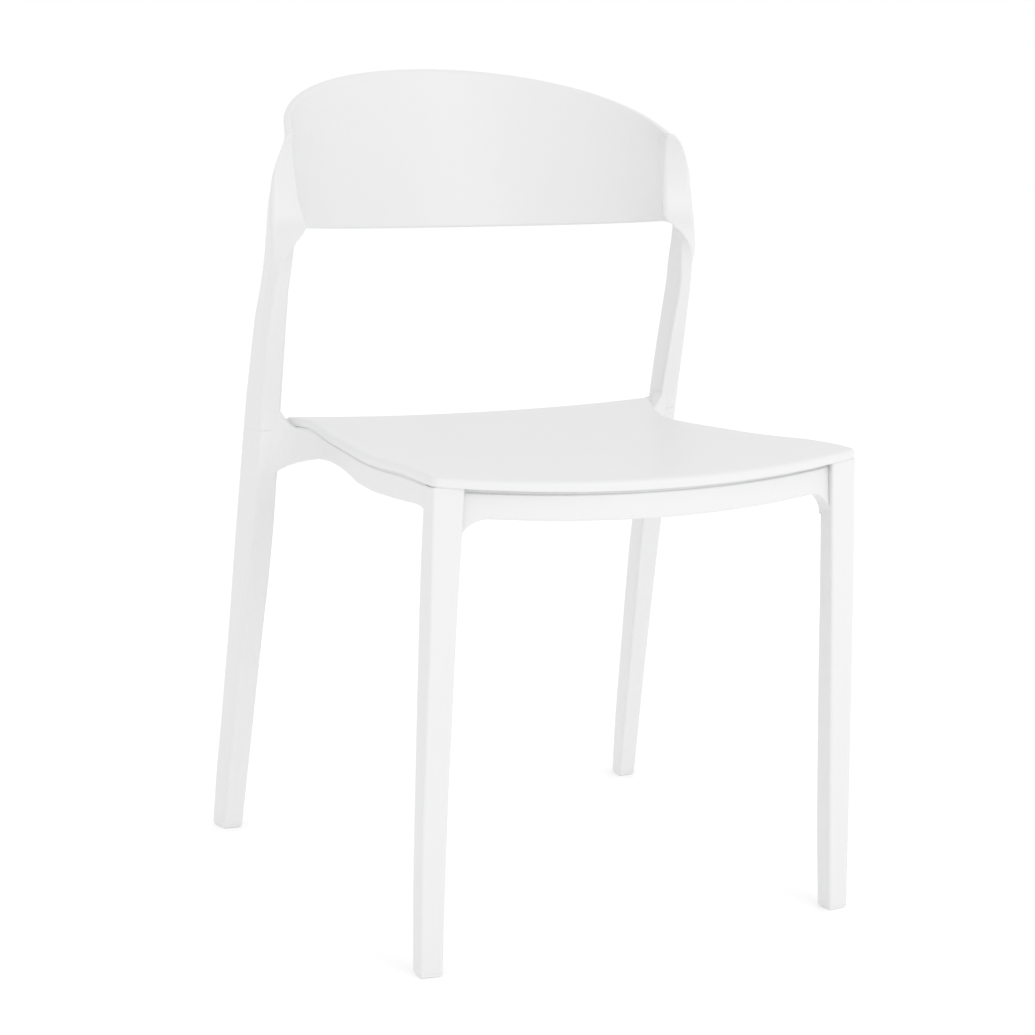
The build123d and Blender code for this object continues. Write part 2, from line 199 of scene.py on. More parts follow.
def band_outward(angle):
    """Horizontal direction from the band's front face to its back."""
    x, y = sin(angle) / 207, cos(angle) / 147
    return np.array((x / hypot(x, y), y / hypot(x, y), 0))


# Ridge between the band's front face and the wing that carries it: z, x, y.
RIDGE = [
    (RIDGE_LOW, 201.9, 86.6),
    (660, 201.7, 92.2),
    (668, 203.0, 97.0),
    (680, 204.9, 101.2),
    (700, 206.7, 104.9),
    (718, 207.9, 106.6),
    (732, 208.6, 106.6),
    (RIDGE_HIGH, 208.6, 104.0),
]
RIDGE_LINE = np.linspace(RIDGE_LOW, RIDGE_HIGH, 120)
RIDGE_POINTS = monotone([r[0] for r in RIDGE], [r[1:] for r in RIDGE], RIDGE_LINE)


def ridge(z):
    z = clamp(z, RIDGE_LOW, RIDGE_HIGH)
    return np.array([np.interp(z, RIDGE_LINE, RIDGE_POINTS[:, k]) for k in (0, 1)] + [z])


def band_end_angle(share):
    """The angle at which the front face meets the ridge at this height."""
    low, high = radians(74), radians(92)
    for _ in range(40):
        angle = (low + high) / 2
        point = band_front(angle, share)
        if point[1] > ridge(point[2])[1]:
            low = angle
        else:
            high = angle
    return (low + high) / 2


SHARES = np.linspace(0, 1, 60)
END_ANGLES = [band_end_angle(share) for share in SHARES]
# Shares of the half band at which its own skin stops and at which the wing takes over.
BAND_STOP = 0.975
WING_START = 0.95
WING_INSET = 0.25       # of the wing's first corner, behind the band's front face
# Share of the half band from which its face is drawn over to the ridge, and for how long.
BLEND_START, BLEND_LENGTH = 0.8, 0.2
# Share of the band's height from which it runs on to the shoulder, and for how long.
SHOULDER_START, SHOULDER_LENGTH = 0.84, 0.12


def band_point(side, share, depth):
    """side runs from -1 at one shoulder to 1 at the other; depth is measured into the wall."""
    share = clamp(share, 0.0, 1.0)
    end = np.interp(share, SHARES, END_ANGLES)
    angle = abs(side) * end
    point = band_front(angle, share)
    near_end = max(0.0, abs(side) - BLEND_START) / BLEND_LENGTH
    shoulder = band_front(end, share)
    gap = ridge(shoulder[2]) - shoulder
    point = point + ease(near_end) * np.array((gap[0], gap[1], 0)) + depth * band_outward(angle)
    if side < 0:
        point[0] = -point[0]
    return tuple(point)


def divided(points, count=14):
    """Adds points along the two broad faces of the band's section."""
    result = []
    for i, point in enumerate(points):
        after = points[(i + 1) % len(points)]
        result.append(point)
        if abs(after[0] - point[0]) > 20:
            for k in range(1, count):
                result.append((point[0] + (after[0] - point[0]) * k / count, point[1]))
    return result


def build_band(mesh):
    corners = [(0, 0), (BAND_HEIGHT, 0), (BAND_HEIGHT, WALL), (0, WALL)]
    outline = divided(rounded(corners, BAND_ROUNDING))
    sides = np.concatenate((
        np.linspace(-1, -BLEND_START, 13)[:-1],
        np.linspace(-BLEND_START, BLEND_START, 65),
        np.linspace(BLEND_START, 1, 13)[1:],
    ))
    sections = []
    for side in sides:
        section = []
        for along, depth in outline:
            # the band reaches the shoulder at its top, and stops inside the wing below that
            share = along / BAND_HEIGHT
            rise = clamp((share - SHOULDER_START) / SHOULDER_LENGTH, 0, 1)
            stop = BAND_STOP + (1 - BAND_STOP) * ease(rise)
            section.append(band_point(side * stop, share, depth))
        sections.append(section)
    skin(mesh, sections)


# ---- posts: rear leg, upright and wing in one sweep -------------------------------------------
# z, then the corners: inner front, outer front (the lip above), crest, outer rear, inner rear.
POST = [
    (3, (230.9, 244.9), (252.6, 247.4), (254.4, 257.0), (256.9, 273.3), (234.9, 270.8)),
    (60, (228.4, 231.1), (250.2, 233.2), (252.1, 244.7), (254.8, 264.3), (233.0, 262.2)),
    (120, (225.9, 216.5), (247.9, 218.3), (249.8, 230.4), (252.4, 251.0), (230.5, 249.2)),
    (180, (223.4, 201.8), (245.8, 203.2), (247.8, 215.7), (250.5, 237.4), (228.1, 236.0)),
    (240, (220.7, 187.2), (243.9, 188.0), (246.0, 201.0), (248.8, 223.4), (225.6, 222.5)),
    (300, (217.9, 172.4), (242.0, 172.0), (244.6, 186.0), (248.0, 208.6), (223.8, 208.9)),
    (360, (217.0, 156.2), (240.2, 155.4), (243.2, 170.0), (247.3, 193.1), (224.1, 194.0)),
    (400, (217.2, 146.0), (239.4, 145.1), (242.3, 160.0), (246.4, 183.3), (224.2, 184.3)),
    (449, (217.6, 133.6), (238.7, 132.6), (241.5, 147.5), (245.4, 171.4), (224.4, 172.4)),
    (480, (217.9, 125.7), (238.5, 125.4), (241.0, 139.0), (244.7, 163.4), (224.0, 163.7)),
    (520, (218.6, 113.6), (238.1, 115.4), (240.6, 128.5), (242.8, 153.5), (222.8, 150.7)),
    (560, (219.5, 101.2), (236.7, 104.4), (239.8, 117.0), (240.9, 143.3), (221.8, 136.6)),
    (590, (220.0, 92.0), (234.4, 94.7), (239.6, 106.8), (236.9, 137.0), (221.0, 126.0)),
    (610, (218.3, 88.9), (231.8, 87.8), (238.1, 98.4), (234.7, 132.5), (218.9, 118.5)),
    (622, (217.6, 86.8), (229.2, 83.0), (238.5, 93.2), (233.6, 131.0), (218.7, 115.0)),
    (632, (216.8, 85.2), (222.9, 79.3), (238.3, 92.0), (232.8, 129.5), (219.0, 112.5)),
    (641, (215.2, 85.4), (214.2, 77.7), (238.1, 91.9), (232.3, 128.0), (219.3, 111.0)),
    (644.5, (213.6, 86.8), (210.2, 78.3), (238.0, 91.9), (232.2, 127.2), (219.8, 111.3)),
    (648, (211.5, 88.4), (205.6, 80.0), (237.9, 91.9), (232.0, 126.4), (220.4, 111.6)),
    (651, (209.8, 90.0), (203.0, 82.6), (237.9, 92.0), (232.0, 125.5), (220.7, 112.1)),
]
# Above the lip: z, crest, outer rear, inner rear. The first two corners lie in the band's end.
WING = [
    (RIDGE_LOW, (238.3, 91.9), (231.9, 124.6), (221.0, 112.6)),
    (675, (237.8, 93.0), (231.6, 118.5), (220.6, 111.6)),
    (700, (236.2, 94.0), (228.9, 110.5), (220.0, 110.2)),
    (715, (231.9, 94.6), (226.4, 104.6), (219.0, 108.4)),
    (727, (226.6, 95.0), (223.7, 100.6), (218.0, 106.4)),
    (736, (221.6, 96.2), (221.0, 99.4), (217.0, 105.2)),
    (742, (216.2, 99.0), (218.6, 100.4), (216.4, 105.0)),
    (745.5, (211.4, 102.2), (216.2, 102.4), (215.8, 105.2)),
]
WING_TOP = WING[-1][0]


def wing_inner(z):
    """The wing's first two corners: one just behind the band's front face, one on the ridge."""
    z = min(z, RIDGE_HIGH)
    angle = WING_START * END_ANGLES[len(END_ANGLES) // 2]
    low, top = band_front(angle, 0)[2], band_front(angle, 1)[2]
    return band_point(WING_START, (z - low) / (top - low), WING_INSET)[:2], tuple(ridge(z)[:2])


POST_TO_WING = POST + [(RIDGE_LOW, *wing_inner(RIDGE_LOW), *WING[0][1:])]


def post_corners(z):
    """The five corners of the post at this height."""
    if z < RIDGE_LOW:
        return corners_at(POST_TO_WING, z)
    return np.vstack((np.array(wing_inner(z)), corners_at(WING, z)))


# Rounding of the post's edges: heights, then radii at them.
LIP_RADIUS = ([600, 625, 648, RIDGE_LOW, 664, 735, 745], [2.5, 2.0, 1.6, 2.2, 5.5, 5.5, 2.5])
CREST_RADIUS = ([400, 470, 560, 640, 745], [4, 8, 14, 6, 3])
REAR_RADIUS = ([560, 620, 745], [2.5, 2.2, 1.4])
INNER_RADIUS = ([600, RIDGE_LOW], [2.5, 0.3])


# The parting line's groove: how far it is cut, as a share of the way to a point inside the post.
GROOVE, GROOVE_CENTRE = 0.03, (232, 150)


def build_post(mesh, side):
    heights = [
        *np.arange(GLIDE_HEIGHT, 440, 12.4),
        SEAM - 0.6, SEAM, SEAM + 0.6,
        *np.arange(455, 606, 6),
        *np.arange(606, 664, 1.5),
        *np.arange(664, 722, 4),
        *np.arange(722, WING_TOP + 0.1, 1.5),
        WING_TOP,
    ]
    sections = []
    for z in heights:
        lip = np.interp(z, *LIP_RADIUS)
        crest = np.interp(z, *CREST_RADIUS)
        rear = np.interp(z, *REAR_RADIUS)
        inner = np.interp(z, *INNER_RADIUS)
        outline = rounded(post_corners(z), [inner, lip, crest, rear, rear + 0.5])
        if z == SEAM:
            middle_x, middle_y = GROOVE_CENTRE
            outline = [
                (x + GROOVE * (middle_x - x), y + GROOVE * (middle_y - y)) for x, y in outline
            ]
        sections.append([(side * x, y, z) for x, y in outline])
    skin(mesh, sections)


# ---- front legs -------------------------------------------------------------------------------
# z, then the corners: outer front, inner front, inner rear, outer rear.
FRONT_LEG = [
    (3, (225.1, -248.0), (203.6, -250.4), (202.6, -229.0), (224.1, -226.6)),
    (60, (224.6, -248.9), (202.0, -250.6), (200.8, -228.1), (223.4, -226.3)),
    (120, (223.7, -250.1), (200.0, -251.6), (198.8, -229.0), (222.5, -227.4)),
    (180, (221.9, -252.3), (197.8, -253.2), (197.2, -229.9), (221.4, -229.0)),
    (240, (220.1, -254.4), (195.2, -255.4), (195.4, -231.6), (220.4, -231.0)),
    (300, (218.1, -256.5), (192.6, -257.6), (193.7, -233.9), (219.3, -233.0)),
    (360, (216.6, -257.6), (189.8, -259.8), (191.1, -236.9), (217.8, -234.6)),
    (400, (215.5, -258.2), (187.7, -261.6), (188.9, -239.4), (216.6, -236.4)),
    (430, (214.7, -258.7), (186.1, -263.0), (187.0, -241.4), (215.5, -238.0)),
    (444, (214.4, -258.9), (185.4, -263.4), (186.4, -242.2), (215.2, -238.8)),
]
LEG_TOP = 445
LEG_RADIUS = 2.5
# Half the thickness of a leg at its foot, which turns an inset into a scale.
FRONT_LEG_HALF, REAR_LEG_HALF = 11, 12
# Height of a glide's section and how far it is drawn in there.
GLIDE_PROFILE = [(0, 2.4), (0.3, 1.5), (0.9, 0.8), (1.8, 0.3), (GLIDE_HEIGHT, 0)]


def drawn_in(outline, centre, scale, side, z):
    """An outline scaled about a centre, on one side of the chair, at a height."""
    return [
        (side * (centre[0] + (x - centre[0]) * scale), centre[1] + (y - centre[1]) * scale, z)
        for x, y in outline
    ]


def leg_section(z, side, inset=0.0):
    corners = corners_at(FRONT_LEG, z)
    outline = rounded(corners, [LEG_RADIUS - 0.5 * inset] * 4)
    return drawn_in(outline, corners.mean(axis=0), 1 - inset / FRONT_LEG_HALF, side, z)


# ---- seat panel -------------------------------------------------------------------------------
# y of the front edge at the middle, of the front corners and of the rear edge
SEAT_MIDDLE_FRONT, SEAT_CORNER, SEAT_REAR = -290, -259, 143
SEAT_HALF = 216         # nominal half width
# y, half width of the panel
SEAT_EDGE = [
    (SEAT_CORNER, 215.9),
    (-230, 215.0),
    (-200, 213.0),
    (-170, 210.2),
    (-130, 207.6),
    (-90, 205.0),
    (-60, 202.2),
    (-30, 198.6),
    (0, 194.4),
    (30, 190.6),
    (50, 188.8),
    (70, 189.2),
    (92, 190.8),
    (106, 195.0),
    (120, 200.8),
    (130, 205.6),
    (SEAT_REAR, 211.6),
]
# y, height of the top at the middle, height of the top at the edge
SEAT_TOP = [
    (-292, 444.4, 454.2),
    (-259, 445.0, 454.4),
    (-230, 444.8, 455.2),
    (-190, 443.4, 454.8),
    (-150, 441.6, 452.8),
    (-110, 440.0, 450.8),
    (-70, 439.0, 449.6),
    (-30, 438.8, 449.2),
    (10, 439.6, 449.0),
    (50, 441.6, 449.6),
    (70, 443.2, 451.0),
    (80, 444.2, 453.0),
    (92, 445.7, 456.2),
    (100, 446.8, 458.8),
    (106, 447.8, 460.5),
    (115, 449.6, 461.0),
    (125, 452.0, 461.2),
    (SEAT_REAR, 456.2, 461.5),
]
SEAT_LINE = np.arange(-292, SEAT_REAR + 1, 1.0)


def along_seat(rows):
    return monotone([row[0] for row in rows], [row[1:] for row in rows], SEAT_LINE)


SEAT_WIDTHS = along_seat(SEAT_EDGE)[:, 0]
SEAT_HEIGHTS = along_seat(SEAT_TOP)


def seat_half_width(y):
    return np.interp(y, SEAT_LINE, SEAT_WIDTHS)


def seat_front(x):
    return SEAT_MIDDLE_FRONT + (SEAT_CORNER - SEAT_MIDDLE_FRONT) * (x / SEAT_HALF) ** 2


def seat_top(x, y):
    middle = np.interp(y, SEAT_LINE, SEAT_HEIGHTS[:, 0])
    edge = np.interp(y, SEAT_LINE, SEAT_HEIGHTS[:, 1])
    return middle + (edge - middle) * (abs(x) / seat_half_width(y)) ** 2.2


# Distances from an edge at which the panel's grid has lines, for the rounding.
EDGE_STEPS = [0, 0.25, 0.7, 1.4, 2.3, 3.4, 4.8, 5.4, 9]
# Size of the panel's grid and the ribs' places in it. The grid is then fitted to the outline.
GRID_WIDTH, GRID_LENGTH = 2 * SEAT_HALF, 420.0
RIBS_ACROSS = [75, 135, 195, 237, 297, 357]
RIBS_ALONG = [60, 120, 180, 240, 300, 360]
SEAT_BORDER = 12        # band along the edges where the grid keeps its spacing
SEAT_ROUNDING = 4.4     # of the top edge
SEAT_CORNER_RADIUS = 7.0
SEAT_RIM, SEAT_SKIN = 5, 5.0
RIM_ROUNDING = 1.4
RIM_HEIGHT = 10.4
SCREW_X, SCREW_YS = 163, (-226, 122)
BOSS_FOOT = 432.0
BOSS_RADIUS, BOSS_FOOT_RADIUS, BOSS_CHAMFER = 7, 6.6, 0.6
RIB_HALF, RIB_ROOT = 1.5, 2.0  # half thickness of a rib, and where its side meets the panel


def seat_grid(length, ribs):
    """Distances along one direction of the panel, close together at its ends and at the ribs."""
    values = set(EDGE_STEPS) | {length - step for step in EDGE_STEPS}
    values |= set(np.linspace(9, length - 9, 37))
    for rib in ribs:
        values = {v for v in values if abs(v - rib) > 3.2}
        values |= {rib - RIB_ROOT, rib - RIB_HALF, rib + RIB_HALF, rib + RIB_ROOT}
    return sorted(values)


def seat_place(u, v):
    """Plan position and distance to the nearest edge for grid distances u, v."""
    du, dv = min(u, GRID_WIDTH - u), min(v, GRID_LENGTH - v)
    a, b = SEAT_CORNER_RADIUS - du, SEAT_CORNER_RADIUS - dv
    if a > 0 and b > 0:
        # inside a corner's square, the grid is pulled on to the rounding
        share = max(a, b) / hypot(a, b)
        a, b = a * share, b * share
        u = SEAT_CORNER_RADIUS - a if u < GRID_WIDTH / 2 else GRID_WIDTH - SEAT_CORNER_RADIUS + a
        v = SEAT_CORNER_RADIUS - b if v < GRID_LENGTH / 2 else GRID_LENGTH - SEAT_CORNER_RADIUS + b
        inside = SEAT_CORNER_RADIUS - hypot(a, b)
    else:
        inside = min(du, dv)
    from_side, from_rear = min(u, GRID_WIDTH - u), GRID_LENGTH - v
    y = SEAT_CORNER + (SEAT_REAR - SEAT_CORNER) * v / GRID_LENGTH
    for _ in range(3):
        half = seat_half_width(y)
        if from_side < SEAT_BORDER:
            x = half - from_side
        else:
            share = (from_side - SEAT_BORDER) / (GRID_WIDTH / 2 - SEAT_BORDER)
            x = (half - SEAT_BORDER) * (1 - share)
        x = x if u > GRID_WIDTH / 2 else -x
        front = seat_front(x)
        if v < SEAT_BORDER:
            y = front + v
        elif from_rear < SEAT_BORDER:
            y = SEAT_REAR - from_rear
        else:
            length = SEAT_REAR - SEAT_BORDER - front - SEAT_BORDER
            y = front + SEAT_BORDER + length * (v - SEAT_BORDER) / (GRID_LENGTH - 2 * SEAT_BORDER)
    return x, y, max(inside, 0.0)


def round_drop(inside, radius):
    """How far a rounded edge falls away at this distance from it."""
    if inside >= radius:
        return 0
    return radius - sqrt(max(radius**2 - (radius - inside) ** 2, 0))


def near_rib(value, ribs):
    return any(abs(value - rib) < 1.6 for rib in ribs)


def build_seat(mesh):
    us = seat_grid(GRID_WIDTH, RIBS_ACROSS)
    vs = seat_grid(GRID_LENGTH, RIBS_ALONG)
    top, low = {}, {}
    for i, u in enumerate(us):
        for j, v in enumerate(vs):
            x, y, inside = seat_place(u, v)
            # the rim is up to 1 mm deeper at the middle of the front
            near_front = max(0, 1 - (y - SEAT_MIDDLE_FRONT) / 60)
            rim = RIM_HEIGHT + near_front * (1 - (x / SEAT_HALF) ** 2)
            z = seat_top(x, y)
            top[i, j] = mesh.verts.new((x, y, z - round_drop(inside, SEAT_ROUNDING)))
            deep = inside < SEAT_RIM or near_rib(u, RIBS_ACROSS) or near_rib(v, RIBS_ALONG)
            under = z - (rim - RIM_ROUNDING if deep else SEAT_SKIN)
            under += round_drop(inside, RIM_ROUNDING)
            low[i, j] = mesh.verts.new((x, y, under))
    n, m = len(us), len(vs)
    for i in range(n - 1):
        for j in range(m - 1):
            mesh.faces.new((top[i, j], top[i + 1, j], top[i + 1, j + 1], top[i, j + 1]))
            mesh.faces.new((low[i, j], low[i, j + 1], low[i + 1, j + 1], low[i + 1, j]))
    rim_path = [(i, 0) for i in range(n - 1)] + [(n - 1, j) for j in range(m - 1)]
    rim_path += [(i, m - 1) for i in range(n - 1, 0, -1)] + [(0, j) for j in range(m - 1, 0, -1)]
    for a, b in zip(rim_path, rim_path[1:] + rim_path[:1]):
        mesh.faces.new((top[a], low[a], low[b], top[b]))
    for x in (-SCREW_X, SCREW_X):
        for y in SCREW_YS:
            high = seat_top(x, y) - 3
            draft = circle((x, y), BOSS_FOOT_RADIUS, 32)
            foot = [(x + (p[0] - x) * 0.93, y + (p[1] - y) * 0.93, BOSS_FOOT) for p in draft]
            skin(mesh, [
                [(*p, high) for p in circle((x, y), BOSS_RADIUS, 32)],
                [(*p, BOSS_FOOT + BOSS_CHAMFER) for p in draft],
                foot,
            ])


# ---- rails ------------------------------------------------------------------------------------
def rail_section(outer, inner, low, high, radius, slant=1.0):
    """An upright section between two plan points; returned as 3-D points."""
    outer, inner = np.array(outer), np.array(inner)
    wide = np.linalg.norm(inner - outer)
    corners = [(0, low), (0, high), (wide, high), (wide, low)]
    outline = rounded(corners, [radius] * 4, stretch=slant)
    return [(*(outer + (inner - outer) * across / wide), z) for across, z in outline]


def rail_stations(flat_end, blend, last_angle, flat_steps):
    """Places along a rail, as x and the fillet's angle: level up to flat_end, then rounding."""
    stations = [(x, 0.0) for x in np.linspace(0, flat_end, flat_steps)]
    angles = np.linspace(0, radians(last_angle), 14)[1:]
    return stations + [(flat_end + blend * sin(a), a) for a in angles]


TAB_HALF_WIDTH, TAB_HEIGHTS = 13, (427, BOSS_FOOT)


def add_tabs(mesh, front, rear, radii):
    """Screw tabs of a rail, between two Y positions."""
    for x in (-SCREW_X, SCREW_X):
        left, right = x - TAB_HALF_WIDTH, x + TAB_HALF_WIDTH
        tab = rounded([(left, front), (right, front), (right, rear), (left, rear)], radii)
        skin(mesh, [[(*p, z) for p in tab] for z in TAB_HEIGHTS])


# Below the panel's top: a rail's upper edge, and the tops of the ledges that close the shadow gap.
GAP_BELOW_TOP = 12.8
LEDGE_BELOW_TOP, SIDE_LEDGE_BELOW_TOP = 8.2, 8.8
LEDGE_DEPTH = 3         # of a ledge's foot into its rail
LEDGE_ROUNDING = 0.4
# Where a ledge starts and stops, behind the rail's outer face.
FRONT_LEDGE, SIDE_LEDGE = (1.3, 7), (1.2, 7)
RAIL_ROUNDING = 2.0


def build_front_rail(mesh):
    sections = []
    ledge = []
    fillet_start, fillet_radius = 164.0, 26.0
    thickness = 20
    for x, angle in both_sides(rail_stations(fillet_start, fillet_radius, 84, 24)):
        outer_y = -285 + 27.5 * (x / 184) ** 2
        low = 408 + 6.2 * min((x / fillet_start) ** 2, 1)
        low -= fillet_radius * (1 - cos(angle))
        high = seat_top(x, max(outer_y + 6, -288)) - GAP_BELOW_TOP
        slope = 1 / max(cos(angle), 0.25)
        outer, inner = (x, outer_y), (x, outer_y + thickness)
        sections.append(rail_section(outer, inner, low, high, RAIL_ROUNDING, slope))
        rise = seat_top(x, outer_y + 6) - LEDGE_BELOW_TOP
        start, stop = ((x, outer_y + behind) for behind in FRONT_LEDGE)
        ledge.append(rail_section(start, stop, high - LEDGE_DEPTH, rise, LEDGE_ROUNDING))
    skin(mesh, sections)
    skin(mesh, ledge)
    add_tabs(mesh, -250, -213, [1, 1, 5, 5])


# Side rail: outer x, outer y, inner x, inner y, lower z, upper z, and how far the section leans
# in y for each millimetre of height above the seam.
SIDE_RAIL = [
    (212.2, -243, 194.0, -243, 404.0, 443.8, 0),
    (212.3, -236, 194.0, -236, 417.0, 443.8, 0),
    (212.2, -228, 193.8, -228, 422.2, 443.9, 0),
    (211.6, -214, 193.0, -214, 423.2, 443.9, 0),
    (209.4, -180, 190.6, -180, 421.0, 443.2, 0),
    (206.4, -145, 187.8, -145, 418.5, 441.4, 0),
    (204.2, -110, 185.4, -110, 416.7, 439.6, 0),
    (201.0, -70, 181.8, -70, 415.2, 438.6, 0),
    (196.6, -30, 177.8, -30, 415.2, 438.2, 0),
    (190.8, 10, 173.2, 10, 417.5, 438.2, 0),
    (188.0, 45, 171.6, 45, 420.6, 439.2, 0),
    (188.4, 74, 172.4, 74, 422.5, 442.0, 0),
    (190.6, 92, 175.2, 94, 422.3, 446.0, 0),
    (197.0, 108, 181.4, 111, 420.0, 450.4, 0),
    (203.4, 118.5, 189.0, 124, 417.0, 451.2, -0.06),
    (208.8, 124.4, 197.0, 133, 413.8, 452.8, -0.12),
    (213.4, 128.0, 205.0, 137.5, 410.4, 456.2, -0.16),
    (217.2, 130.2, 211.0, 140, 407.6, 461.6, -0.19),
    (221.0, 131.8, 216.5, 143, 404.6, 468.0, -0.21),
    (229.0, 134.2, 222.0, 147, 396.0, 462.0, -0.25),
    (237.0, 136.8, 229.0, 152, 384.0, 452.0, -0.25),
]


def build_side_rail(mesh, side):
    knots = np.arange(len(SIDE_RAIL))
    fine = np.linspace(0, len(SIDE_RAIL) - 1, 5 * len(SIDE_RAIL))
    sections = []
    ledge = []
    for row in monotone(knots, SIDE_RAIL, fine):
        outer_x, outer_y, inner_x, inner_y, low, high, lean = row
        section = rail_section((outer_x, outer_y), (inner_x, inner_y), low, high, RAIL_ROUNDING)
        sections.append([(side * x, y + lean * (z - SEAM), z) for x, y, z in section])
        if -244 < outer_y < 122:
            rise = seat_top(outer_x - 4, outer_y) - SIDE_LEDGE_BELOW_TOP
            start, stop = ((outer_x - behind, outer_y) for behind in SIDE_LEDGE)
            section = rail_section(start, stop, high - LEDGE_DEPTH, rise, LEDGE_ROUNDING)
            ledge.append([(side * x, y, z) for x, y, z in section])
    skin(mesh, sections)
    skin(mesh, ledge)


REAR_LEAN = 0.27        # the rear rail leans with the posts, in y for each millimetre of height


def build_rear_rail(mesh):
    """The rail between the posts: a low lip behind the panel, blended into the posts."""
    sections = []
    flat_end, blend, last_angle = 194.0, 23.0, 85
    rear = 165.0
    stations = rail_stations(flat_end, blend, last_angle, 22)
    stations.append((224.0, radians(last_angle)))
    for x, angle in both_sides(stations):
        rise = blend * (1 - cos(angle))
        low = 418 - rise
        high = 450.8 + 4.4 * min((x / flat_end) ** 2, 1) + 0.2 * rise
        front = 146.0 - 10.4 * (1 - cos(angle))
        slope = 1 / max(cos(angle), 0.3)
        upright = (front, low), (front, high), (rear, high), (rear, low)
        corners = [(y - REAR_LEAN * (z - SEAM), z) for y, z in upright]
        outline = rounded(corners, [2.0, 3.0, 3.0, 2.0], stretch=slope)
        sections.append([(x, y, z) for y, z in outline])
    skin(mesh, sections)
    add_tabs(mesh, 104, 160, [5, 5, 1, 1])


# ---- small pieces -----------------------------------------------------------------------------
# A screw's radius and height, from its recess round the head and up the shank.
SCREW_PROFILE = [
    (1.6, 425.4), (1.6, 424.9), (3.2, 424.5), (4.1, 425.1),
    (4.5, 426), (4.5, 427), (2, 427), (2, 439),
]


# ---- materials --------------------------------------------------------------------------------
def new_material(name, colour, roughness=0.5):
    """A new material. Its plain colour and roughness serve readers that do not follow nodes."""
    material = bpy.data.materials.new(name)
    material.use_nodes = True
    tree = material.node_tree
    shader = tree.nodes["Principled BSDF"]
    shader.inputs["Base Color"].default_value = (*colour, 1)
    shader.inputs["Roughness"].default_value = roughness
    return material, tree.nodes, tree.links, shader


def uneven_gloss(nodes, links, shader, noise, low, high):
    """Lets the roughness vary between low and high with a noise."""
    spread = nodes.new("ShaderNodeMapRange")
    spread.inputs["To Min"].default_value = low
    spread.inputs["To Max"].default_value = high
    links.new(noise.outputs["Fac"], spread.inputs["Value"])
    links.new(spread.outputs["Result"], shader.inputs["Roughness"])


GRAIN = 0.012           # height of the moulded texture


def plastic(name, colour, roughness, bevel=0.0):
    """Moulded plastic: a fine even texture, slight unevenness of gloss and a soft edge."""
    material, nodes, links, shader = new_material(name, colour, roughness)
    shader.inputs["IOR"].default_value = 1.49
    place = nodes.new("ShaderNodeTexCoord")
    cloud = nodes.new("ShaderNodeTexNoise")
    cloud.inputs["Scale"].default_value = 9
    cloud.inputs["Detail"].default_value = 3
    links.new(place.outputs["Object"], cloud.inputs["Vector"])
    uneven_gloss(nodes, links, shader, cloud, roughness - 0.03, roughness + 0.03)
    tone = nodes.new("ShaderNodeMix")
    tone.data_type = "RGBA"
    tone.inputs["A"].default_value = (*[c * 0.985 for c in colour], 1)
    tone.inputs["B"].default_value = (*colour, 1)
    links.new(cloud.outputs["Fac"], tone.inputs["Factor"])
    links.new(tone.outputs["Result"], shader.inputs["Base Color"])
    texture = nodes.new("ShaderNodeTexNoise")
    texture.inputs["Scale"].default_value = 1400
    texture.inputs["Detail"].default_value = 2
    links.new(place.outputs["Object"], texture.inputs["Vector"])
    bump = nodes.new("ShaderNodeBump")
    bump.inputs["Strength"].default_value = 0.25
    bump.inputs["Distance"].default_value = GRAIN * MM
    links.new(texture.outputs["Fac"], bump.inputs["Height"])
    if bevel:
        soft = nodes.new("ShaderNodeBevel")
        soft.samples = 6
        soft.inputs["Radius"].default_value = bevel * MM
        links.new(soft.outputs["Normal"], bump.inputs["Normal"])
    links.new(bump.outputs["Normal"], shader.inputs["Normal"])
    return material


WHITE = (0.757, 0.762, 0.758)
frame_material = plastic("frame_plastic", WHITE, 0.36, bevel=1.0)
seat_material = plastic("seat_plastic", WHITE, 0.38)
glide_material = plastic("glide_plastic", (0.82, 0.82, 0.82), 0.5)

steel_material, nodes, links, shader = new_material("screw_steel", (0.72, 0.72, 0.74))
shader.inputs["Metallic"].default_value = 1
steel_noise = nodes.new("ShaderNodeTexNoise")
steel_noise.inputs["Scale"].default_value = 900
uneven_gloss(nodes, links, shader, steel_noise, 0.25, 0.45)


def hand_in(name, mesh, material, slot, *nodes, sharp=40):
    """Finishes a piece, hangs it on the root body and hides the CAD nodes it stands for."""
    piece = finish_mesh(name, mesh, sharp)
    piece.data.materials.append(material)
    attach(piece, "root")
    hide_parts(*nodes)


# ---- build the chair --------------------------------------------------------------------------
mesh = bmesh.new()
build_band(mesh)
build_post(mesh, 1)
build_post(mesh, -1)
hand_in(
    "back_frame", mesh, frame_material, "frame_plastic",
    "backrest", "upright_left", "upright_right", "rear_leg_left", "rear_leg_right",
)

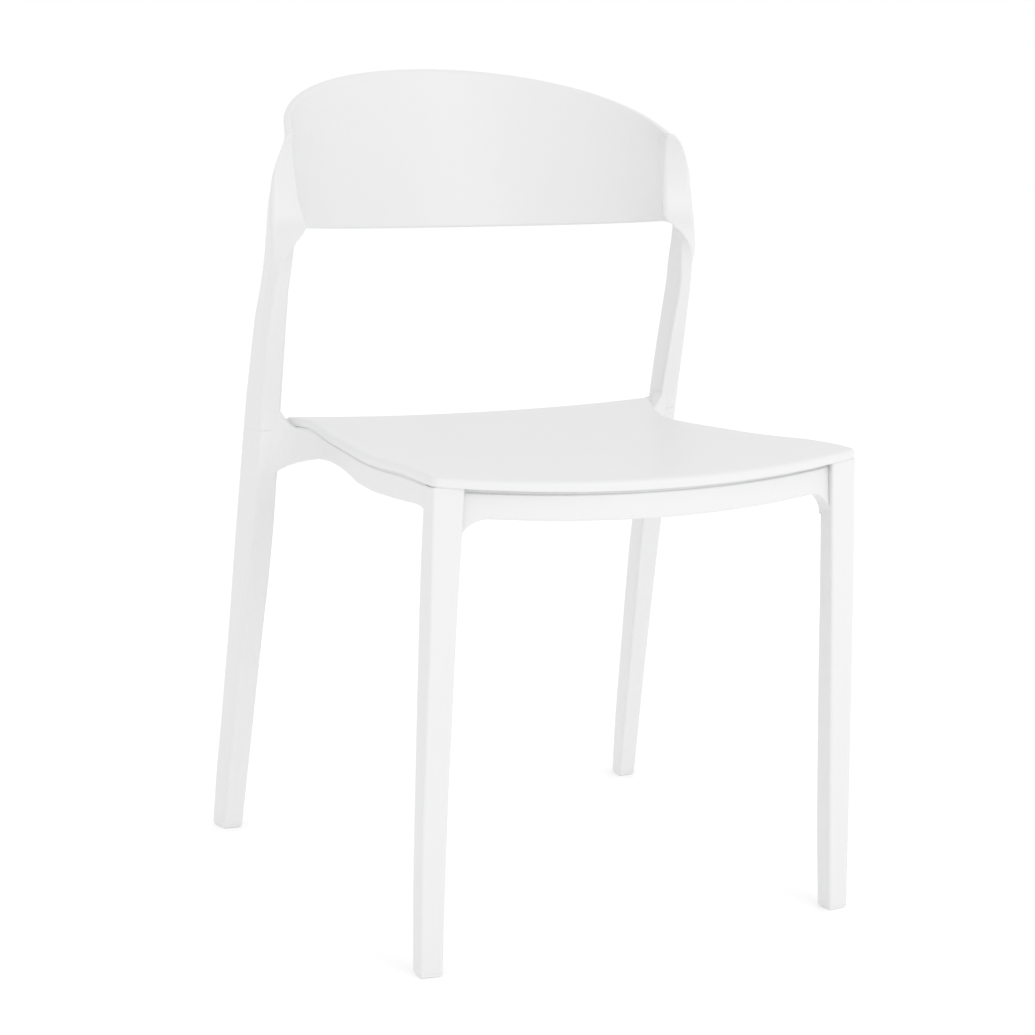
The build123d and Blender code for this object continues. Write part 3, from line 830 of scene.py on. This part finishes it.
for side, word in ((1, "right"), (-1, "left")):
    mesh = bmesh.new()
    sections = [leg_section(z, side) for z in np.linspace(GLIDE_HEIGHT, 444.2, 30)]
    skin(mesh, sections + [leg_section(LEG_TOP, side, 0.8)])
    name = f"moulded_front_leg_{word}"
    hand_in(name, mesh, frame_material, "frame_plastic", f"front_leg_{word}")

    mesh = bmesh.new()
    build_side_rail(mesh, side)
    name = f"moulded_side_rail_{word}"
    hand_in(name, mesh, frame_material, "frame_plastic", f"side_rail_{word}")

    mesh = bmesh.new()
    skin(mesh, [
        [(*p[:2], z) for p in leg_section(GLIDE_HEIGHT, side, inset)]
        for z, inset in GLIDE_PROFILE
    ])
    name = f"moulded_glide_front_{word}"
    hand_in(name, mesh, glide_material, "glide_plastic", f"glide_front_{word}")

    mesh = bmesh.new()
    corners = np.delete(post_corners(GLIDE_HEIGHT), 2, axis=0)  # without the crest
    outline = rounded(corners, [LEG_RADIUS] * 4)
    skin(mesh, [
        drawn_in(outline, corners.mean(axis=0), 1 - inset / REAR_LEG_HALF, side, z)
        for z, inset in GLIDE_PROFILE
    ])
    name = f"moulded_glide_rear_{word}"
    hand_in(name, mesh, glide_material, "glide_plastic", f"glide_rear_{word}")

mesh = bmesh.new()
build_front_rail(mesh)
hand_in("moulded_front_rail", mesh, frame_material, "frame_plastic", "front_rail")

mesh = bmesh.new()
build_rear_rail(mesh)
hand_in("moulded_rear_rail", mesh, frame_material, "frame_plastic", "rear_rail")

mesh = bmesh.new()
build_seat(mesh)
hand_in("moulded_seat_panel", mesh, seat_material, "seat_plastic", "seat_panel", sharp=50)

mesh = bmesh.new()
for x in (-SCREW_X, SCREW_X):
    for y in SCREW_YS:
        skin(mesh, [[(*p, z) for p in circle((x, y), r, 24)] for r, z in SCREW_PROFILE])
hand_in("pan_head_screws", mesh, steel_material, "screw_steel", "seat_screws")

# ---- floor and light --------------------------------------------------------------------------
FLOOR_HALF = 14  # metres
floor_mesh = bmesh.new()
bmesh.ops.create_grid(floor_mesh, x_segments=8, y_segments=8, size=FLOOR_HALF)
floor_data = bpy.data.meshes.new("studio_floor")
floor_mesh.to_mesh(floor_data)
floor_mesh.free()
floor = new_object("studio_floor", floor_data)
floor_material, nodes, links, shader = new_material("pale_floor", (0.97, 0.97, 0.97), 0.8)
shader.inputs["Emission Color"].default_value = (1, 1, 1, 1)
shader.inputs["Emission Strength"].default_value = 0.08
floor_noise = nodes.new("ShaderNodeTexNoise")
floor_noise.inputs["Scale"].default_value = 60
uneven_gloss(nodes, links, shader, floor_noise, 0.75, 0.85)
floor.data.materials.append(floor_material)

world = bpy.data.worlds.new("studio")
bpy.context.scene.world = world
world.use_nodes = True
surround = world.node_tree.nodes["Background"]
surround.inputs["Color"].default_value = (1, 1, 1, 1)
surround.inputs["Strength"].default_value = 1.0

# a large soft key light, in front of the chair and a little towards +X
key_data = bpy.data.lights.new("key", "AREA")
key_data.shape = "RECTANGLE"
key_data.size, key_data.size_y = 1.8, 1.5
key_data.energy = 15.5
key = new_object("key", key_data)
key.location = (0.9, -3.0, 1.5)
key.rotation_euler = (Vector((0, 0, 0.5)) - key.location).to_track_quat("-Z", "Y").to_euler()

bpy.context.scene.view_settings.view_transform = "Standard"
